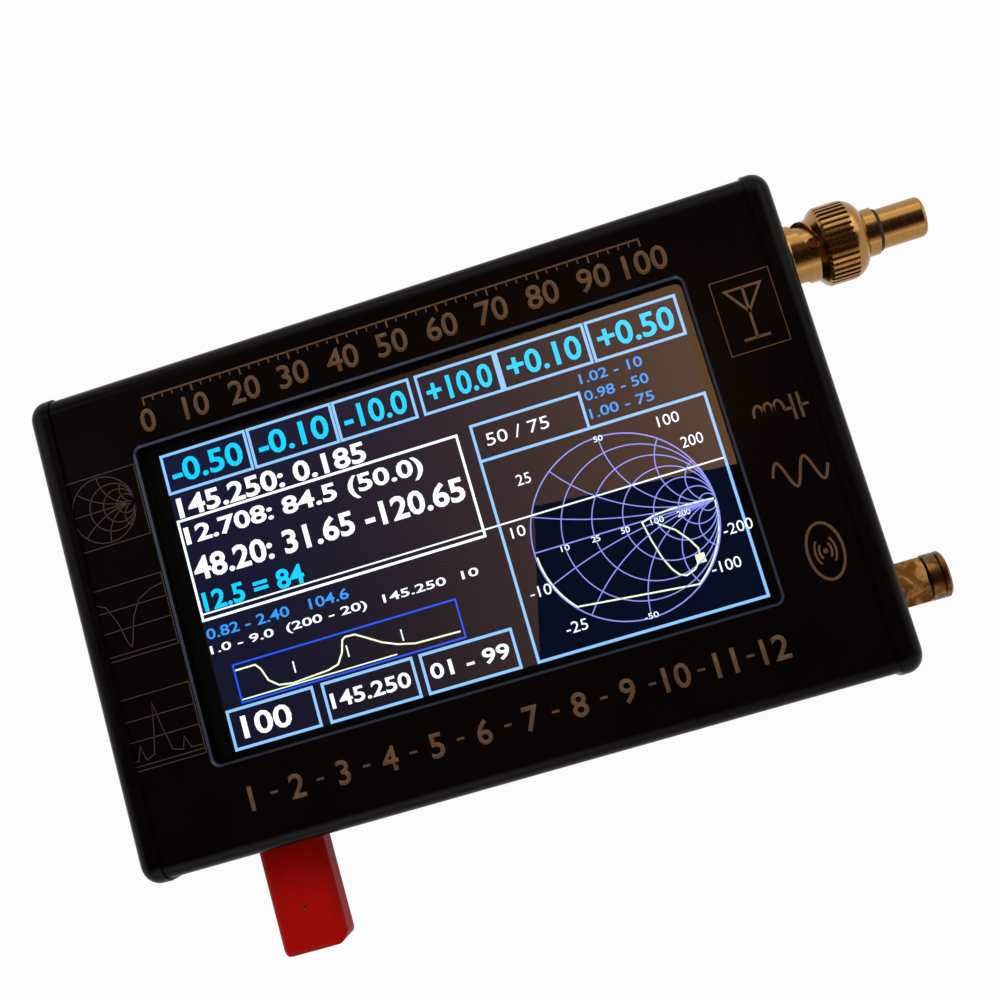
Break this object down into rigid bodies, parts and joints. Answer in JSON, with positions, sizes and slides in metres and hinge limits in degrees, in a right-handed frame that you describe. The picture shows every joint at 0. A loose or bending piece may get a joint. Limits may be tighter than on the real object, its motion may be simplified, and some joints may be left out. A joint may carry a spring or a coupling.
{
  "type": "antenna analyzer",
  "caption": "Hand-held antenna analyzer with a touch screen, coaxial ports on one end, a bayonet plug, a screw-on load and a plug-in drive in its side.",
  "frame": {"origin": "centre of the lower shell's flat underside; the bezels reach 0.5 mm below it", "axes": "+X along the case towards the coaxial ports, +Y up the screen, +Z out of the screen"},
  "size_m": [0.1636, 0.107, 0.038],
  "materials": {
    "black_anodised": "anodised satin",
    "black_screw": "satin",
    "foam": "matt",
    "touch_glass": "polished",
    "display": "polished",
    "light_guide": "clear",
    "steel": "brushed",
    "board": "satin",
    "chip": "matt",
    "black_plastic": "matt",
    "tinned_steel": "bright",
    "zinc_steel": "bright",
    "battery_foil": "satin",
    "plated_brass": "polished",
    "gold_contact": "polished",
    "white_insulator": "matt",
    "black_rubber": "matt",
    "red_plastic": "gloss",
    "blue_plastic": "satin"
  },
  "bodies": {
    "case": {"upper_shell": "black_anodised", "lower_shell": "black_anodised", "right_bezel": "black_anodised", "left_bezel": "black_anodised", "right_end_plate": "black_anodised", "left_end_plate": "black_anodised", "right_bezel_screws": "black_screw", "left_bezel_screws": "black_screw", "window_gasket": "foam", "touch_glass": "touch_glass", "display_panel": "display", "backlight": "light_guide", "display_frame": "steel", "display_foam_pads": "foam", "main_board": "board", "main_board_chips": "chip", "header_strips": "black_plastic", "radio_board": "board", "shield_can": "tinned_steel", "board_spacers": "zinc_steel", "upper_board_screws": "zinc_steel", "lower_board_screws": "zinc_steel", "battery_foam": "foam", "battery_pack": "battery_foil", "upper_jack_shell": "plated_brass", "upper_jack_insulator": "white_insulator", "upper_jack_contact": "gold_contact", "upper_jack_washer": "plated_brass", "upper_jack_nut": "plated_brass", "lower_jack_shell": "plated_brass", "lower_jack_insulator": "white_insulator", "lower_jack_contact": "gold_contact", "lower_jack_washer": "plated_brass", "lower_jack_nut": "plated_brass", "usb_socket": "tinned_steel", "usb_tongue": "blue_plastic", "card_socket": "tinned_steel", "power_switch_body": "black_plastic"},
    "bayonet_nut": {"coupling_nut": "plated_brass"},
    "bayonet_plug": {"plug_body": "plated_brass", "plug_spring_washer": "steel", "plug_insulator": "white_insulator", "plug_pin": "gold_contact", "plug_seal_ring": "black_rubber", "crimp_ferrule": "plated_brass"},
    "load_nut": {"load_nut": "plated_brass"},
    "load": {"load_body": "plated_brass", "load_insulator": "white_insulator", "load_pin": "gold_contact"},
    "usb_plug": {"usb_plug_grip": "red_plastic", "usb_plug_shell": "tinned_steel", "usb_plug_insert": "black_plastic"},
    "memory_card": {"memory_card": "black_plastic"},
    "power_switch_knob": {"power_switch_knob": "black_plastic"}
  },
  "joints": [
    {"name": "plug_draw", "type": "slide", "parent": "case", "child": "bayonet_plug", "axis": [1, 0, 0], "range_m": [0, 0.0026]},
    {"name": "nut_turn", "type": "hinge", "parent": "bayonet_plug", "child": "bayonet_nut", "pos_m": [0.0746, 0.0318, 0.0185], "axis": [1, 0, 0], "range_deg": [0, 90]},
    {"name": "load_draw", "type": "slide", "parent": "case", "child": "load", "axis": [1, 0, 0], "range_m": [0, 0.00423]},
    {"name": "load_nut_turn", "type": "hinge", "parent": "load", "child": "load_nut", "pos_m": [0.0736, -0.0306, 0.0185], "axis": [1, 0, 0], "range_deg": [0, 2160]},
    {"name": "usb_pull", "type": "slide", "parent": "case", "child": "usb_plug", "axis": [0, -1, 0], "range_m": [0, 0.012]},
    {"name": "card_pull", "type": "slide", "parent": "case", "child": "memory_card", "axis": [-1, 0, 0], "range_m": [0, 0.011]},
    {"name": "switch_slide", "type": "slide", "parent": "case", "child": "power_switch_knob", "axis": [0, 1, 0], "range_m": [0, 0.004]}
  ],
  "couplings": [
    {"joint": "plug_draw", "follows": "nut_turn", "m_per_rad": 0.0016552},
    {"joint": "load_nut_turn", "follows": "load_draw", "rad_per_m": 8905.2}
  ]
}
